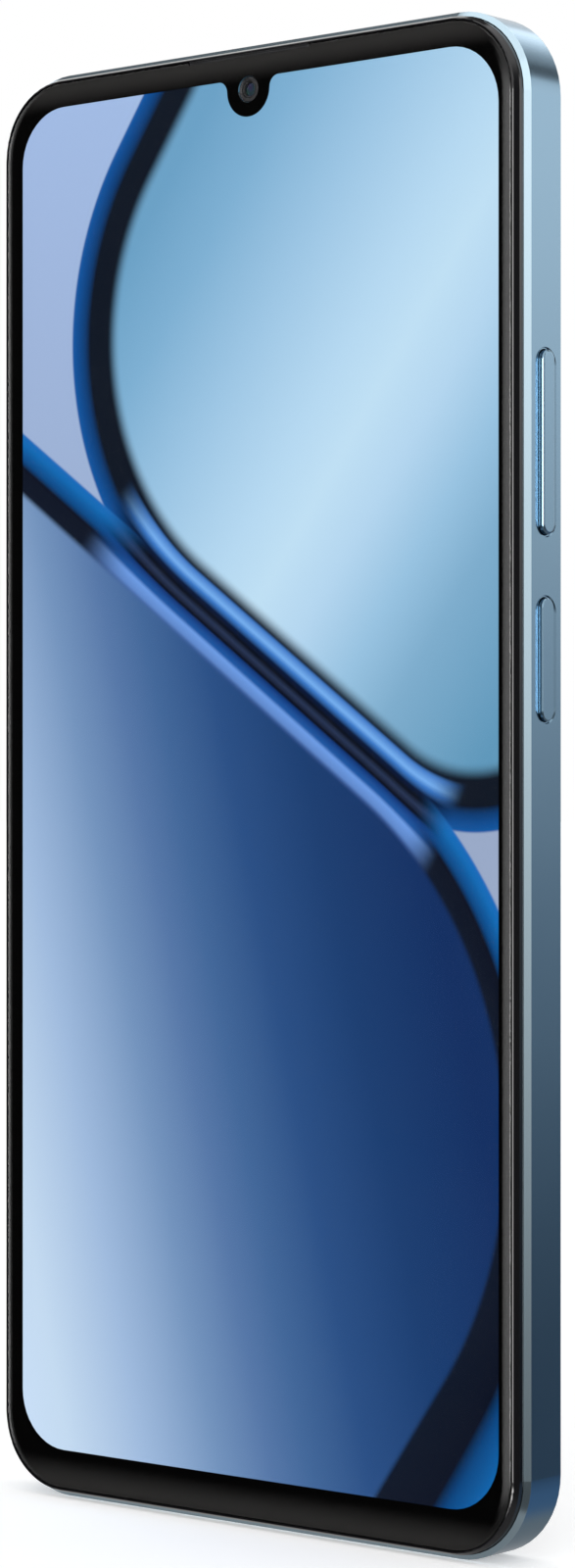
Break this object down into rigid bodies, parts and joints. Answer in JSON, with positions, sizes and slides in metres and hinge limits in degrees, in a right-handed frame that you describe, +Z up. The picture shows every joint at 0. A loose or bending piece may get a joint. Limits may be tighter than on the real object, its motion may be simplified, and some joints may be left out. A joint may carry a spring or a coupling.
{
  "type": "smartphone",
  "caption": "Slim large smartphone with a drop-notch screen, black lip, chamfered blue side frame, side keys, card tray, rear cameras and the working parts inside.",
  "frame": {"origin": "the middle of the bottom edge: centred across the width and on the body's thickness, at the lowest face", "axes": "+Z runs up the phone towards the earpiece, the screen faces -Y, the rear cameras face +Y, and +X is the side with the keys"},
  "size_m": [0.0772, 0.0091, 0.1673],
  "materials": {
    "cover_glass": "clear polished cover glass",
    "border_film": "black print behind the glass",
    "clear_adhesive": "clear optical adhesive",
    "display_panel": "lit liquid crystal panel with a plain blue picture",
    "backlight_white": "white light guide in its tray",
    "chip_black": "moulded chip package",
    "flex_amber": "polyimide flexible circuit",
    "tape_black": "black foam tape",
    "bezel_black": "fine satin black",
    "plate_steel": "stamped stainless steel",
    "frame_blue": "satin metallic blue",
    "key_blue": "satin metallic blue",
    "dome_steel": "thin bright steel",
    "seal_rubber": "soft black silicone",
    "board_green": "solder mask over fibreglass",
    "pad_grey": "soft thermal pad",
    "connector_black": "moulded connector plastic",
    "cable_black": "thin black jacket",
    "battery_foil": "black laminated foil pouch",
    "tape_white": "stretch release tape",
    "port_steel": "drawn stainless steel",
    "cover_black": "moulded black plastic",
    "mesh_steel": "fine black dust mesh",
    "rotor_tungsten": "sintered weight",
    "lens_glass": "coated lens",
    "screw_steel": "zinc plated",
    "barrel_black": "black lens barrel",
    "flash_yellow": "phosphor coated light",
    "rear_blue": "glossy blue with a soft shimmer",
    "island_blue": "satin anodised blue",
    "ring_steel": "polished turned ring",
    "window_glass": "dark coated glass",
    "flash_lens": "frosted flash lens",
    "graphite": "pressed graphite sheet"
  },
  "bodies": {
    "phone": {"cover_glass": "cover_glass", "border_film": "border_film", "optical_adhesive": "clear_adhesive", "display_panel": "display_panel", "backlight_unit": "backlight_white", "display_driver": "chip_black", "display_flex": "flex_amber", "display_adhesive": "tape_black", "front_bezel": "bezel_black", "mid_plate": "plate_steel", "side_frame": "frame_blue", "key_bracket": "plate_steel", "key_flex": "flex_amber", "key_domes": "dome_steel", "card_reader": "dome_steel", "main_board": "board_green", "sub_board": "board_green", "board_shields": "dome_steel", "board_chips": "chip_black", "thermal_pad": "pad_grey", "board_connectors": "connector_black", "main_flex": "flex_amber", "antenna_cable": "cable_black", "battery": "battery_foil", "battery_adhesive": "tape_white", "battery_flex": "flex_amber", "charging_port": "port_steel", "port_tongue": "connector_black", "audio_jack": "connector_black", "loudspeaker": "cover_black", "speaker_mesh": "mesh_steel", "bottom_gaskets": "seal_rubber", "microphones": "dome_steel", "motor_cup": "dome_steel", "motor_lid": "dome_steel", "receiver_speaker": "cover_black", "receiver_mesh": "mesh_steel", "front_camera": "connector_black", "front_camera_lens": "lens_glass", "light_sensor": "chip_black", "upper_inner_cover": "cover_black", "lower_inner_cover": "cover_black", "board_screws": "screw_steel", "main_camera": "connector_black", "second_camera": "barrel_black", "flash_led": "flash_yellow", "rear_cover": "rear_blue", "cover_adhesive": "tape_black", "camera_frame": "island_blue", "lens_rings": "ring_steel", "camera_windows": "window_glass", "flash_window": "flash_lens", "graphite_sheet": "graphite"},
    "volume_rocker": {"volume_rocker": "key_blue"},
    "power_key": {"power_key": "key_blue", "fingerprint_sensor": "chip_black"},
    "sim_tray": {"sim_tray": "key_blue", "tray_gasket": "seal_rubber"},
    "motor_rotor": {"motor_rotor": "rotor_tungsten"},
    "main_camera_lens": {"main_camera_lens": "barrel_black"}
  },
  "joints": [
    {"name": "volume_rock", "type": "hinge", "parent": "phone", "child": "volume_rocker", "pos_m": [0.03555, 0.00095, 0.12045], "axis": [0, 1, 0], "range_deg": [-1.1, 1.1], "stiffness_Nm_per_rad": 0.6},
    {"name": "power_press", "type": "slide", "parent": "phone", "child": "power_key", "axis": [-1, 0, 0], "range_m": [0, 0.00025], "stiffness_N_per_m": 6000},
    {"name": "tray_slide", "type": "slide", "parent": "phone", "child": "sim_tray", "axis": [-1, 0, 0], "range_m": [0, 0.03]},
    {"name": "rotor_spin", "type": "hinge", "parent": "phone", "child": "motor_rotor", "pos_m": [-0.027, 0, 0.022], "axis": [0, 1, 0], "continuous": true},
    {"name": "focus_slide", "type": "slide", "parent": "phone", "child": "main_camera_lens", "axis": [0, 1, 0], "range_m": [0, 0.0003], "stiffness_N_per_m": 300}
  ]
}
